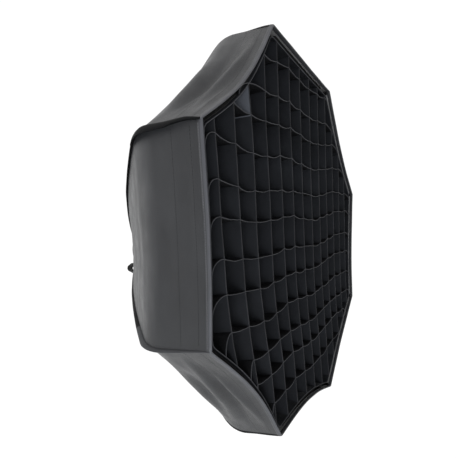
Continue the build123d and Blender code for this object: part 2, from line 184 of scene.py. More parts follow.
# Soft folds on each gore: back, slope, width, height, middle and spread across
FOLDS = {
    UPPER_LEFT: [
        (0.046, 0.018, 0.012, 0.010, -0.10, 0.60),
        (0.112, -0.010, 0.018, 0.009, 0.10, 0.65),
        (0.024, 0.008, 0.008, 0.004, 0.55, 0.35),
        (0.078, 0.008, 0.014, -0.010, 0.0, 0.65),
        (0.062, 0.030, 0.006, 0.0035, 0.45, 0.30),
        (0.230, 0.050, 0.030, 0.006, 0.10, 0.60),
        (0.178, 0.000, 0.018, -0.005, 0.10, 0.60),
    ],
    LOWER_LEFT: [
        (0.045, -0.018, 0.011, 0.009, 0.10, 0.60),
        (0.092, 0.014, 0.013, 0.009, -0.15, 0.65),
        (0.068, 0.000, 0.010, -0.008, 0.0, 0.60),
        (0.150, -0.020, 0.022, 0.008, 0.10, 0.60),
        (0.122, 0.006, 0.012, -0.006, 0.05, 0.55),
        (0.330, 0.030, 0.040, 0.004, 0.0, 0.60),
    ],
    LEFT: [
        (0.110, 0.0, 0.030, 0.002, 0.0, 0.70),
        (0.022, 0.0, 0.008, 0.001, -0.3, 0.50),
    ],
}
DEFAULT_FOLDS = [
    (0.055, 0.016, 0.013, 0.004, -0.15, 0.50),
    (0.100, -0.012, 0.018, 0.004, 0.25, 0.55),
    (0.280, 0.040, 0.035, 0.003, 0.0, 0.60),
]


def slack(side, u, back):
    """How far the cloth stands out from, or in to, the taut panel."""
    hold = np.clip(1 - np.abs(u) ** 3, 0, 1)
    out = -SCALLOPS[side] * bow(u) * np.exp(-((np.clip(back, 0, 1) / SCALLOP_FADE) ** 1.3))
    hollow = np.sin(math.pi * np.clip((back - CONE_START) / CONE_RUN, 0, 1))
    out = out - CONE_PULL * bow(u) * hollow
    for place, slope, width, height, middle, spread in FOLDS.get(side, DEFAULT_FOLDS):
        fold = bump_at(back, place + slope * u, width) * bump_at(u, middle, spread)
        out = out + height * fold * hold
    long_folds = rough(u * 1.1 + 3 * side, back * 17, 1.7 * side)
    fine_folds = rough(u * 3.0 + 5 * side, back * 42, 4.1 + side)
    out = out + hold * (0.0026 * long_folds + 0.0007 * fine_folds)
    puckers = rough(u * 16 + side, back * 7, 9.0 + side) * np.exp(-((1 - np.abs(u)) / 0.10) ** 2)
    return out + 0.0009 * puckers * hold


def cover(side, u, back, lift=0.0, flat=False):
    """Points of the cover. u runs from -1 to 1 between two seams."""
    u, back = np.broadcast_arrays(np.asarray(u, float), np.asarray(back, float))
    apothem, reach, out_a, out_r = tent(back)
    out = lift if flat else lift + slack(side, u, back)
    radial, tangent = directions(2 * HALF_ANGLE * side)
    along = u * apothem * math.tan(HALF_ANGLE)
    points = (apothem + out_a * out)[..., None] * radial + along[..., None] * tangent
    points[..., 1] -= reach + out_r * out
    return points


def ring_cover(backs, lifts, per_side):
    """A closed band that follows the cover round all sides, one ring for each back and lift."""
    u = np.linspace(-1, 1, per_side + 1)[:-1]
    backs, lifts = np.asarray(backs, float), np.asarray(lifts, float)
    sides = [cover(k, u[:, None], backs[None, :], lifts[None, :]) for k in range(SIDES)]
    return np.concatenate(sides)


def octagon(apothem, dips, per_side):
    """An octagon's outline as x and z, each side drawn in by its dip halfway along."""
    u = np.linspace(-1, 1, per_side + 1)[:-1]
    line = []
    for side, dip in enumerate(dips):
        radial, tangent = directions(2 * HALF_ANGLE * side)
        inward = apothem - dip * bow(u)
        along = u * apothem * math.tan(HALF_ANGLE)
        line.append(inward[:, None] * radial + along[:, None] * tangent)
    return np.concatenate(line)


def rim(apothem, share=1.0):
    """The outline inside the mouth with a share of its scallops, its corners softened."""
    line = octagon(apothem, [share * scallop for scallop in SCALLOPS], RIM_POINTS)
    step = 2 * apothem * math.tan(HALF_ANGLE) / RIM_POINTS
    reach = int(3 * CORNER_SOFTNESS / step) + 1
    weights = np.exp(-0.5 * (np.arange(-reach, reach + 1) * step / CORNER_SOFTNESS) ** 2)
    weights /= weights.sum()
    return sum(w * np.roll(line, k, axis=0) for k, w in zip(range(-reach, reach + 1), weights))


def normals_of(points, closed):
    """Unit normals of a grid of points; the first direction may be a closed ring."""
    if closed:
        across = np.roll(points, -1, axis=0) - np.roll(points, 1, axis=0)
    else:
        across = np.gradient(points, axis=0)
    normal = np.cross(np.gradient(points, axis=1), across)
    return normal / np.maximum(np.linalg.norm(normal, axis=2), 1e-12)[..., None]


def edge_at(outline, z, sign):
    """The outline's outermost x to the left, -1, or to the right, 1, at a height z."""
    a, b = outline, np.roll(outline, -1, axis=0)
    cut = (a[:, 2] - z) * (b[:, 2] - z) <= 0
    part = (z - a[cut, 2]) / (b[cut, 2] - a[cut, 2] + 1e-12)
    x = a[cut, 0] + part * (b[cut, 0] - a[cut, 0])
    return sign * float(np.max(sign * x))


class Cloth:
    """Gathers closed thin shells and small solids into one mesh with UVs in metres.

    run is the length of the strips that it holds.
    """

    def __init__(self):
        self.points, self.faces, self.uvs, self.slots = [], [], [], []
        self.count = 0
        self.run = 0.0

    def add(self, points, faces, uvs, slots):
        """New points with faces that count from the first of them."""
        points = np.asarray(points, float).reshape(-1, 3)
        self.points.append(points)
        self.patch(np.asarray(faces) + self.count, uvs, slots)
        self.count += len(points)

    def patch(self, faces, uvs, slots):
        """More faces on points that are there already."""
        self.faces += np.asarray(faces).tolist()
        self.uvs.append(np.asarray(uvs, float).reshape(-1, 2))
        self.slots.append(np.broadcast_to(slots, len(faces)))

    def shell(self, middle, half, closed=False, top=0, low=0):
        """A thin sheet about a grid of points. top and low are the sides' material slots."""
        n, m = middle.shape[:2]
        normal = normals_of(middle, closed)
        half = np.broadcast_to(np.asarray(half, float), (n, m))[..., None]
        sides = [(middle + sign * normal * half).reshape(-1, 3) for sign in (1, -1)]
        points = np.concatenate(sides)
        way_u = np.r_[0, np.cumsum(np.linalg.norm(np.diff(middle, axis=0), axis=2).mean(axis=1))]
        way_v = np.r_[0, np.cumsum(np.linalg.norm(np.diff(middle, axis=1), axis=2).mean(axis=0))]
        way_u = np.r_[way_u, 2 * way_u[-1] - way_u[-2]]
        top = np.broadcast_to(top, m - 1)
        low = np.broadcast_to(low, m - 1)
        faces, uvs, slots = [], [], []

        def quads(spots, kinds):
            faces.append(np.stack([(layer * n + i % n) * m + j for layer, i, j in spots], axis=1))
            uvs.append(np.stack([np.stack([way_u[i], way_v[j]], axis=1) for _, i, j in spots], axis=1))
            slots.append(kinds)

        last = n if closed else n - 1
        i, j = (a.ravel() for a in np.meshgrid(np.arange(last), np.arange(m - 1), indexing="ij"))
        quads([(0, i, j), (0, i + 1, j), (0, i + 1, j + 1), (0, i, j + 1)], top[j])
        quads([(1, i, j), (1, i, j + 1), (1, i + 1, j + 1), (1, i + 1, j)], low[j])
        i = np.arange(last)
        for k in (0, m - 1):
            j = np.full_like(i, k)
            kinds = np.full_like(i, top[min(k, m - 2)])
            quads([(0, i, j), (1, i, j), (1, i + 1, j), (0, i + 1, j)], kinds)
        if not closed:
            j = np.arange(m - 1)
            for k in (0, n - 1):
                i = np.full_like(j, k)
                quads([(0, i, j), (0, i, j + 1), (1, i, j + 1), (1, i, j)], top[j])
        self.add(points, np.concatenate(faces), np.concatenate(uvs), np.concatenate(slots))

    def tube(self, rings, slots):
        """A solid swept through rings of points, its ends drawn to points. slots runs along it."""
        n, m = rings.shape[:2]
        way = lengths(rings.mean(axis=1))
        round_way = lengths(np.concatenate([rings[n // 2], rings[n // 2][:1]]))
        slots = np.broadcast_to(slots, n - 1)
        i, j = (a.ravel() for a in np.meshgrid(np.arange(n - 1), np.arange(m), indexing="ij"))
        spots = [(i, j), (i, j + 1), (i + 1, j + 1), (i + 1, j)]
        faces = np.stack([a * m + b % m for a, b in spots], axis=1)
        uvs = np.stack([np.stack([way[a], round_way[b]], axis=1) for a, b in spots], axis=1)
        self.add(rings, faces, uvs, slots[i])
        base = self.count - n * m
        for k in (0, n - 1):
            middle = self.count
            self.add([rings[k].mean(axis=0)], np.zeros((0, 3), int), np.zeros((0, 2)), 0)
            tips = [[base + k * m + b, base + k * m + (b + 1) % m, middle] for b in range(m)]
            self.patch(tips, np.zeros((3 * m, 2)), slots[min(k, n - 2)])

    def disc(self, outline, middle, rings, half, dent):
        """A thin sheet from a middle point out to an outline.

        dent(points, share) says how far each point is moved along y.
        """
        n, m = len(outline), rings + 1
        shares = np.linspace(0, 1, m)
        grid = middle + shares[None, :, None] * (outline - middle)[:, None, :]
        grid[..., 1] += dent(grid, np.broadcast_to(shares, grid.shape[:2]))
        step = np.array([0, half, 0])
        points = np.concatenate([(grid - step).reshape(-1, 3), (grid + step).reshape(-1, 3)])
        i, j = (a.ravel() for a in np.meshgrid(np.arange(n), np.arange(1, rings), indexing="ij"))
        k = (i + 1) % n
        front = np.stack([i * m + j, k * m + j, k * m + j + 1, i * m + j + 1], axis=1)
        rear = n * m
        near = np.arange(n) * m
        far = np.roll(near, -1)
        edge = np.stack([near, far, far + rear, near + rear], axis=1) + rings
        quads = np.concatenate([front, front + rear, edge])
        tips = np.stack([near * 0, near + 1, far + 1], axis=1)
        tips = np.concatenate([tips, tips + rear])
        base = self.count
        self.add(points, quads, points[quads][..., [0, 2]], 0)
        self.patch(tips + base, points[tips][..., [0, 2]], 0)

    def stitches(self, line, out, pitch):
        """Thread stitches along a line of points, lying on a surface with normals out."""
        way = lengths(line)
        quads = [(k, (k + 1) % 4, 4 + (k + 1) % 4, 4 + k) for k in range(4)]
        quads += [(0, 1, 2, 3), (4, 5, 6, 7)]
        for start in np.arange(pitch, way[-1] - pitch, pitch):
            ends = np.array([start, start + STITCH_LENGTH])
            places = np.stack([np.interp(ends, way, line[:, k]) for k in range(3)], axis=1)
            up = np.array([np.interp(start, way, out[:, k]) for k in range(3)])
            ahead = (places[1] - places[0]) / np.linalg.norm(places[1] - places[0])
            side = np.cross(up, ahead)
            shape = [up, side, -up, -side]
            corners = [place + STITCH_RADIUS * arm for place in places for arm in shape]
            self.add(corners, quads, np.zeros((24, 2)), 0)

    def piece(self, name, body, materials):
        """The finished object, riding on its body."""
        mesh = bpy.data.meshes.new(name)
        mesh.from_pydata(np.concatenate(self.points).tolist(), [], self.faces)
        for material in materials:
            mesh.materials.append(material)
        mesh.polygons.foreach_set("material_index", np.concatenate(self.slots).astype(np.int32))
        layer = mesh.uv_layers.new(name="flat")
        layer.data.foreach_set("uv", np.concatenate(self.uvs).astype(np.float32).ravel())
        work = bmesh.new()
        work.from_mesh(mesh)
        bmesh.ops.delete(work, geom=[v for v in work.verts if not v.link_faces], context="VERTS")
        bmesh.ops.recalc_face_normals(work, faces=work.faces)
        work.to_mesh(mesh)
        work.free()
        mesh.polygons.foreach_set("use_smooth", [True] * len(mesh.polygons))
        mesh.set_sharp_from_angle(angle=math.radians(50))
        mesh.update()
        obj = bpy.data.objects.new(name, mesh)
        bpy.context.scene.collection.objects.link(obj)
        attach(obj, body)
        return obj


# ---------------------------------------------------------------- camera, light and floor
scene = bpy.context.scene
scene.view_settings.view_transform = "Standard"

CAMERA_PLACE = (-0.98883, -0.97852, -0.03240)
CAMERA_TURN = (83.8525, 1.5817, -60.1610)
camera_data = bpy.data.cameras.new("camera")
camera_data.lens = 29.05
camera_data.shift_x = -0.0461
camera_data.shift_y = 0.1481
camera_data.dof.use_dof = False
camera = bpy.data.objects.new("camera", camera_data)
camera.location = CAMERA_PLACE
camera.rotation_euler = Euler([math.radians(degrees) for degrees in CAMERA_TURN])
scene.collection.objects.link(camera)
scene.camera = camera

FLOOR_HALF = 9
FLOOR_HEIGHT = -1.6
floor_corners = [(x * FLOOR_HALF, y * FLOOR_HALF, FLOOR_HEIGHT)
                 for x, y in ((-1, -1), (1, -1), (1, 1), (-1, 1))]
floor_mesh = bpy.data.meshes.new("floor")
floor_mesh.from_pydata(floor_corners, [], [(0, 1, 2, 3)])
floor = bpy.data.objects.new("floor", floor_mesh)
scene.collection.objects.link(floor)

world = bpy.data.worlds.new("studio")
world.use_nodes = True
backdrop = world.node_tree.nodes["Background"]
backdrop.inputs["Color"].default_value = (1, 1, 1, 1)
backdrop.inputs["Strength"].default_value = 1.05
scene.world = world


def area_light(name, place, target, size, power, colour=(1.0, 1.0, 1.0)):
    """A square lamp at a place, facing its target."""
    data = bpy.data.lights.new(name, "AREA")
    data.shape = "SQUARE"
    data.size = size
    data.energy = power
    data.color = colour
    lamp = bpy.data.objects.new(name, data)
    lamp.location = place
    lamp.rotation_euler = (Vector(target) - Vector(place)).to_track_quat("-Z", "Y").to_euler()
    scene.collection.objects.link(lamp)


area_light("left_bank", (-2.5, -1.8, -0.9), (-0.2, -0.5, 0.0), 1.0, 53, (0.95, 0.97, 1.0))
area_light("shoulder_bank", (-1.6, 1.6, 0.4), (-0.4, -0.3, 0.0), 0.8, 9, (0.96, 0.98, 1.0))
area_light("low_bank", (-1.5, -0.3, -1.7), (-0.2, -0.4, -0.3), 1.0, 46, (0.91, 1.0, 0.96))
area_light("top_bank", (-1.4, -0.2, 2.2), (-0.2, -0.4, 0.3), 1.0, 16)


# ---------------------------------------------------------------- materials
# A thread's pitch at scale 1, the scale of worn patches and that of loose fibres, and the part
# of a pattern's range that shows
BAND_LENGTH = 0.314
WEAR_SCALE = 9.0
FUZZ_SCALE = 260.0
PATTERN_RANGE = (0.3, 0.7)
PATTERN_ROUGHNESS = 0.55


class Finish:
    """A Principled material and short ways to wire its texture nodes."""

    def __init__(self, name, **sockets):
        self.material = bpy.data.materials.new(name)
        self.material.use_nodes = True
        self.tree = self.material.node_tree
        self.shader = self.tree.nodes["Principled BSDF"]
        for socket, value in sockets.items():
            self.shader.inputs[socket.replace("_", " ")].default_value = value
        self.height = None

    def node(self, kind, **settings):
        """A new node, its inputs and properties set by name."""
        made = self.tree.nodes.new(kind)
        for name, value in settings.items():
            if name in made.inputs:
                made.inputs[name].default_value = value
            else:
                setattr(made, name, value)
        return made

    def join(self, source, target):
        self.tree.links.new(source, target)

    def place(self, flat):
        """Flat cloth coordinates in metres, or the object's own."""
        if flat:
            return self.node("ShaderNodeUVMap", uv_map="flat").outputs["UV"]
        return self.node("ShaderNodeTexCoord").outputs["Object"]

    def noise(self, scale, detail, flat=False):
        """Uneven patches."""
        made = self.node("ShaderNodeTexNoise", Scale=scale, Detail=detail, Roughness=PATTERN_ROUGHNESS)
        self.join(self.place(flat), made.inputs["Vector"])
        return made.outputs["Fac"]

    def threads(self, pitch, across):
        """Ridges of one thread direction."""
        made = self.node("ShaderNodeTexWave", wave_type="BANDS", bands_direction="X" if across else "Y",
                         Scale=BAND_LENGTH / pitch, Distortion=0.6, Detail=0.0)
        self.join(self.place(True), made.inputs["Vector"])
        return made.outputs["Fac"]

    def ramp(self, source, low, high):
        """The pattern's range becomes low to high."""
        made = self.node("ShaderNodeMapRange")
        start, end = PATTERN_RANGE
        limits = {"From Min": start, "From Max": end, "To Min": low, "To Max": high}
        for socket, value in limits.items():
            made.inputs[socket].default_value = value
        self.join(source, made.inputs["Value"])
        return made.outputs["Result"]

    def colour(self, source, low, high):
        """The base colour runs between two colours with a texture."""
        made = self.node("ShaderNodeMix", data_type="RGBA")
        made.inputs["A"].default_value = (*low, 1)
        made.inputs["B"].default_value = (*high, 1)
        self.join(self.ramp(source, 0, 1), made.inputs["Factor"])
        self.join(made.outputs["Result"], self.shader.inputs["Base Color"])

    def roughness(self, source, low, high):
        """The roughness runs from low to high with a texture."""
        self.join(self.ramp(source, low, high), self.shader.inputs["Roughness"])

    def bump(self, source, distance, strength=0.6):
        """Relief on top of the relief that is there."""
        made = self.node("ShaderNodeBump", Distance=distance, Strength=strength)
        self.join(source, made.inputs["Height"])
        if self.height:
            self.join(self.height, made.inputs["Normal"])
        self.height = made.outputs["Normal"]
        self.join(self.height, self.shader.inputs["Normal"])


def grey(value, tint=(1.0, 1.0, 1.0)):
    """A grey, or a tinted one."""
    return tuple(value * t for t in tint)


def woven(name, low, high, pitch, rough, sheen, specular=0.45, depth=0.00012):
    """A plain woven cloth with two thread directions, a soft sheen and slight wear."""
    made = Finish(name, Roughness=rough, Sheen_Weight=sheen, Sheen_Roughness=0.45,
                  Specular_IOR_Level=specular)
    made.colour(made.noise(WEAR_SCALE, 5.0, True), low, high)
    made.roughness(made.noise(WEAR_SCALE * 3, 3.0, True), rough - 0.06, rough + 0.08)
    made.bump(made.threads(pitch, True), depth)
    made.bump(made.threads(pitch, False), depth)
    made.bump(made.noise(FUZZ_SCALE, 2.0, True), depth * 2, 0.35)
    return made.material


COOL = (0.96, 0.99, 1.12)
NAVY = (0.90, 0.98, 1.16)
DUSK = (0.94, 0.98, 1.20)
cover_cloth = woven("cover_cloth", grey(0.0095, COOL), grey(0.0145, COOL),
                    0.0011, 0.43, 0.015, specular=0.29)
lining = woven("silver_lining", grey(0.42), grey(0.55), 0.0016, 0.32, 0.0, specular=0.8)
lining.node_tree.nodes["Principled BSDF"].inputs["Metallic"].default_value = 0.75
# The sleeve cloth is painted near black, much darker than the cover: painted shade for the sleeves'
# shaded faces. The cuff and the rod pockets take it too.
sleeve_painted_shade = woven("sleeve_painted_shade", grey(0.0020, COOL), grey(0.0040, COOL),
                     0.0012, 0.60, 0.0, specular=0.07)
# A paler, shinier copy of the sleeve cloth: painted light on the sleeve stretch that stands out into the
# light.
lit_sleeve = woven("lit_sleeve", grey(0.016, COOL), grey(0.024, COOL),
                    0.0012, 0.55, 0.01, specular=0.24)
hem_tape = woven("hem_tape", grey(0.009, DUSK), grey(0.014, DUSK), 0.0016, 0.5, 0.02)
# A lighter copy of the hem tape for its rolled front edge: a painted highlight.
hem_fold_highlight = woven("hem_fold_highlight", grey(0.020, DUSK), grey(0.032, DUSK), 0.0016, 0.55, 0.02)
grid_cloth = woven("grid_cloth", grey(0.0075, NAVY), grey(0.0130, NAVY),
                   0.0010, 0.65, 0.0, specular=0.07)
# A much paler copy of the grid cloth: painted light on the pulled column's stretch that faces the light.
grid_painted_light = woven("grid_painted_light", grey(0.045, NAVY), grey(0.065, NAVY),
                  0.0010, 0.60, 0.02, specular=0.15)
# The rows take a darker copy of the grid cloth: painted shade on the rows' faces.
row_cloth_painted_shade = woven("row_cloth_painted_shade", grey(0.0035, COOL), grey(0.0065, COOL),
                  0.0010, 0.65, 0.0, specular=0.05)
grid_edge = woven("grid_edge", grey(0.013, COOL), grey(0.044, COOL),
                  0.0010, 0.60, 0.02, specular=0.15)
column_edge = woven("column_edge", grey(0.009, COOL), grey(0.024, COOL),
                    0.0010, 0.60, 0.02, specular=0.12)
hook_cloth = woven("hook_tape", grey(0.006), grey(0.010), 0.0018, 0.75, 0.0,
                   specular=0.15, depth=0.0005)
loop_cloth = woven("loop_tape", grey(0.006), grey(0.012), 0.0022, 0.85, 0.02,
                   specular=0.1, depth=0.0006)
diffuser_cloth = woven("diffuser_cloth", grey(0.70, (1.0, 1.0, 0.99)), grey(0.76), 0.0007, 0.6, 0.05)
diffuser_tape = woven("diffuser_tape", grey(0.60), grey(0.68), 0.0014, 0.6, 0.1)
thread = woven("thread", grey(0.075, COOL), grey(0.10, COOL), 0.0006, 0.5, 0.02)
seam_thread = woven("seam_thread", grey(0.004), grey(0.006), 0.0006, 0.6, 0.0, specular=0.1)


def solid(name, low, high, rough, metallic=0.0, bump=0.00008, scale=60.0):
    """Metal or moulded plastic with slight wear and a fine grain."""
    made = Finish(name, Roughness=rough, Metallic=metallic)
    made.colour(made.noise(scale, 4.0), low, high)
    made.roughness(made.noise(scale * 0.6, 5.0), rough - 0.08, rough + 0.10)
    made.bump(made.noise(scale * 14, 2.0), bump, 0.5)
    return made.material


def strap(name, low, high, pitch, rough, sheen, **looks):
    """A grey woven strap."""
    return woven(name, grey(low), grey(high), pitch, rough, sheen, **looks)


# The slot and finish of each CAD node that is shown. Where the finish is None, the node takes
# the one that its slot already has.
CAD_FINISHES = {
    "speedring": ("cast_alloy", solid("cast_alloy", grey(0.020), grey(0.028), 0.42, 0.2, 0.00018, 40.0)),
    "mount_adapter": ("adapter_steel", solid("adapter_alloy", grey(0.55), grey(0.66), 0.28, 1.0)),
    "retainer_ring": ("adapter_steel", solid("retainer_alloy", grey(0.50), grey(0.60), 0.34, 1.0)),
    "retainer_screws": ("spring_steel", solid("screw_steel", grey(0.36), grey(0.48), 0.3, 1.0)),
    "glide_washer": ("glide_plastic", solid("glide_plastic", grey(0.70), grey(0.78), 0.38)),
    "rod_sockets": ("socket_steel", solid("socket_steel", grey(0.40), grey(0.52), 0.33, 1.0)),
    "rod_tip_caps": ("moulded_black", solid("moulded_black", grey(0.016), grey(0.024), 0.46)),
    "strap_hooks": ("moulded_black", None),
    "lock_knob": ("moulded_black", None),
    "lock_screw": ("spring_steel", None),
    "screw_clip": ("spring_steel", None),
    "loop_rivets": ("spring_steel", None),
    "brake_shoe": ("shoe_brass", solid("shoe_brass", (0.50, 0.36, 0.15), (0.62, 0.46, 0.20), 0.36, 1.0)),
    "inner_diffuser_hem": ("diffuser_tape", diffuser_tape),
    "rod_pockets": ("cover_fabric", sleeve_painted_shade),
    "diffuser_straps": ("elastic", strap("elastic", 0.014, 0.026, 0.0016, 0.7, 0.3)),
    "pull_loop": ("webbing", strap("webbing", 0.003, 0.006, 0.0022, 0.65, 0.02,
                                   specular=0.1, depth=0.0005)),
}
rod_finish = ("spring_steel", CAD_FINISHES["retainer_screws"][1])
CAD_FINISHES.update({f"rod_{k}": rod_finish for k in range(1, SIDES + 1)})
BY_SLOT = {slot: made for slot, made in CAD_FINISHES.values() if made}


def dress_cad():
    """Gives each shown CAD node its finish."""
    for name, (slot_name, made) in CAD_FINISHES.items():
        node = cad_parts[name]
        node.data.materials.clear()
        node.data.materials.append(made or BY_SLOT[slot_name])


dress_cad()
floor_finish = Finish("floor", Base_Color=(0.97, 0.97, 0.97, 1), Roughness=0.9)
floor_mesh.materials.append(floor_finish.material)


# ---------------------------------------------------------------- cover
def area_of(points):
    """Area of a grid of points."""
    a = np.diff(points, axis=0)[:, :-1]
    b = np.diff(points, axis=1)[:-1]
    return float(np.linalg.norm(np.cross(a, b), axis=2).sum())


BACKS = np.concatenate([np.linspace(0, SHOULDER_END, 96)[:-1],
                        np.linspace(SHOULDER_END, TENT_LENGTH, 60)])
for side in range(SIDES):
    cloth = Cloth()
    u = np.linspace(-1, 1, 76)[:, None]
    skin = cover(side, u, BACKS[None, :])
    cloth.shell(skin, CLOTH / 2, top=0, low=1)
    gore = cloth.piece(f"gore_cloth_{side + 1}", "box", [cover_cloth, lining])
    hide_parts(f"gore_{side + 1}")
    area_of(cover(side, u, BACKS[None, :], flat=True))


# How far each sleeve flops over towards the next side, in radians, and its share of full height
WELTS = ((-0.8, 0.8), (-0.9, 0.7), (-1.45, 0.7), (1.25, 1.1),
         (0.15, 0.6), (0.9, 0.6), (-0.5, 0.6), (-0.6, 0.7))
WELT_HEIGHTS = ((0, 0.006), (0.05, 0.010), (0.11, 0.017), (0.17, 0.021),
                (0.30, 0.016), (0.50, 0.011), (TENT_LENGTH, 0.007))
WELT_WIDTHS = ((0, 0.0045), (0.10, 0.0062), (0.2, 0.0060), (TENT_LENGTH, 0.0045))
WELT_SINK = 0.0015
WELT_ENDS = (0.003, 0.004)

# The sleeve between the upper left and the left side is thick and stands off up to the
# shoulder, and lies flatter behind it
BULKY_SEAM = UPPER_LEFT
BULKY_PART = ((0.0, 0), (0.03, 1), (0.12, 1), (0.16, 0))
BULKY_HEIGHTS = ((0.13, 1), (0.18, 0.5), (0.35, 0.7))
BULK = 0.7
BULKY_LIFT = 0.005


def welt_rings(k):
    """Rings along the sleeve that covers the rod between side k and the next."""
    backs = np.linspace(WELT_ENDS[0], TENT_LENGTH - WELT_ENDS[1], 90)
    apothem, reach, out_a, out_r = tent(backs)
    radial, tangent = directions(2 * HALF_ANGLE * k + HALF_ANGLE)
    corner = (apothem / math.cos(HALF_ANGLE))[:, None] * radial
    corner[:, 1] -= reach
    out = (out_a / math.cos(HALF_ANGLE))[:, None] * radial
    out[:, 1] -= out_r
    out /= np.linalg.norm(out, axis=1)[:, None]
    flop, size = WELTS[k]
    tall = profile(backs, WELT_HEIGHTS)
    tall *= size * (1 + 0.10 * rough(backs * 14, k * 3.0))
    thick = profile(backs, WELT_WIDTHS)
    sink = np.full_like(backs, WELT_SINK)
    if k == BULKY_SEAM:
        bulky = profile(backs, BULKY_PART)
        tall *= profile(backs, BULKY_HEIGHTS)
        thick *= 1 + BULK * bulky
        sink -= BULKY_LIFT * bulky
    lean = flop * np.clip(backs / 0.07, 0.3, 1) + 0.14 * rough(backs * 6, k * 7.0, 2.0)
    turns = np.linspace(0, 2 * math.pi, 15)[:-1]
    up = 0.5 - 0.5 * np.cos(turns)
    across = np.sin(turns) * (1.0 - 0.45 * up)
    rings = []
    for row in range(len(backs)):
        rise = out[row] * math.cos(lean[row]) + tangent * math.sin(lean[row])
        beside = tangent * math.cos(lean[row]) - out[row] * math.sin(lean[row])
        base = corner[row] - out[row] * sink[row]
        rings.append(base + np.outer(up * tall[row], rise) + np.outer(across * thick[row] / 2, beside))
    return np.array(rings)


# The sleeve between the left and the lower left side is painted pale up to the shoulder: a painted
# highlight where it stands out into the light
LIT_SEAM = LEFT
LIT_RINGS = 30
sleeves = Cloth()
for k in range(SIDES):
    rings = welt_rings(k)
    lit_stretch = (k == LIT_SEAM) * (np.arange(len(rings) - 1) < LIT_RINGS)
    sleeves.tube(rings, lit_stretch.astype(int))
welts = sleeves.piece("seam_welts", "box", [sleeve_painted_shade, lit_sleeve])
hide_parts("seam_bindings")

# The hem tape wraps the mouth: out along the cover, over its edge and back inside. Each point
# has its back and its height over the cover; the stretches at the edge, counted next, take a lighter
# copy of the tape: a painted highlight along the rolled edge.
HEM_LINE = np.array([(0.0095, 0.0009), (0.0092, 0.0014), (0.007, 0.0015), (0.004, 0.0016),
                     (0.001, 0.0015), (-0.0008, 0.0010), (-0.0014, 0.0), (-0.0008, -0.0010),
                     (0.001, -0.0015), (0.005, -0.0015), (0.0085, -0.0013)])
HEM_HIGHLIGHT_FOLD = (3, 4, 5)
HEM_HALF = 0.00035
hem = Cloth()
fold = np.isin(np.arange(len(HEM_LINE) - 1), HEM_HIGHLIGHT_FOLD)
hem.shell(ring_cover(*HEM_LINE.T, RIM_POINTS), HEM_HALF, closed=True, top=fold, low=fold)
mouth_hem = hem.piece("mouth_hem", "box", [hem_tape, hem_fold_highlight])
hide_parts("mouth_binding")


def wall_stitches(cloth, back, lift, pitch):
    """A line of stitches round the front wall, at a back and a height over the cover."""
    for side in range(SIDES):
        u = np.linspace(-STITCH_SPAN, STITCH_SPAN, 60)
        line = cover(side, u, np.full_like(u, back), lift)
        out = cover(side, u, np.full_like(u, back), lift + 0.001) - line
        out /= np.linalg.norm(out, axis=1)[:, None]
        cloth.stitches(line, out, pitch)


HEM_STITCH_BACK = 0.0070
HEM_STITCH_LIFT = 0.0018
TAPE_STITCH_BACKS = (0.0255, 0.064)
seams = Cloth()
wall_stitches(seams, HEM_STITCH_BACK, HEM_STITCH_LIFT, STITCH_PITCH)
seams.piece("hem_stitches", "box", [thread])
seams = Cloth()
for back in TAPE_STITCH_BACKS:
    wall_stitches(seams, back, CLOTH / 2, LONG_STITCH_PITCH)
seams.piece("tape_stitches", "box", [seam_thread])

# Hook tape on the inside of the cover, for the grid and for the front diffuser: name, first and
# last back, and the CAD node. It takes up a share of each side.
HOOK_TAPES = (("grid_hook_ribbon", 0.014, 0.038, "grid_hook_tapes"),
              ("diffuser_hook_ribbon", 0.058, 0.082, "diffuser_hook_tapes"))
HOOK_SHARE = 0.80
HOOK_INSET = 0.0011
HOOK_HALF = 0.0009
for name, first, last, node in HOOK_TAPES:
    ribbon = Cloth()
    backs = np.linspace(first, last, 8)
    for side in range(SIDES):
        u = np.linspace(-HOOK_SHARE, HOOK_SHARE, 40)[:, None]
        ribbon.shell(cover(side, u, backs[None, :], -CLOTH / 2 - HOOK_INSET), HOOK_HALF)
    made = ribbon.piece(name, "box", [hook_cloth])
    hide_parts(node)

# The cuff closes the cover's end. It starts a little way up the cover and ends just past it.
CUFF_UP = 0.012
CUFF_PAST = 0.0005
CUFF_HALF = 0.0008
cuff = Cloth()
cuff_backs = np.linspace(TENT_LENGTH - CUFF_UP, TENT_LENGTH + CUFF_PAST, 7)
cuff_lifts = 0.0018 + 0.0006 * np.sin(np.linspace(0, math.pi, 7))
cuff.shell(ring_cover(cuff_backs, cuff_lifts, per_side=16), CUFF_HALF, closed=True)
neck = cuff.piece("cuff_cloth", "box", [sleeve_painted_shade])
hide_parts("neck_cuff")

# The pull loop stands out from the cuff towards the left, pulled over by its own weight. Its
# line gives places along the cuff and away from the axis.
LOOP_ANGLE = math.radians(225)
LOOP_LINE = [(0.018, 0.0996), (0.038, 0.0996), (-0.046, 0.130), (-0.038, 0.0996), (-0.018, 0.0996)]
LOOP_WIDTH = 0.020
LOOP_HALF = 0.0024
loop_radial, loop_tangent = directions(LOOP_ANGLE)
loop_run = filleted(LOOP_LINE, [0.0015, 0.008, 0.0015], 0.001)
loop_points = loop_run[:, :1] * loop_tangent + loop_run[:, 1:] * loop_radial
loop_low, loop_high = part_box("pull_loop")
loop_middle = (loop_low[1] + loop_high[1]) / 2
loop_y = loop_middle + np.linspace(-LOOP_WIDTH / 2, LOOP_WIDTH / 2, 5)
webbing = Cloth()
webbing.shell(loop_points[:, None, :] + loop_y[None, :, None] * np.array([0, 1, 0]), LOOP_HALF)
pull_loop = webbing.piece("pull_loop_webbing", "box", [BY_SLOT["webbing"]])
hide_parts("pull_loop")


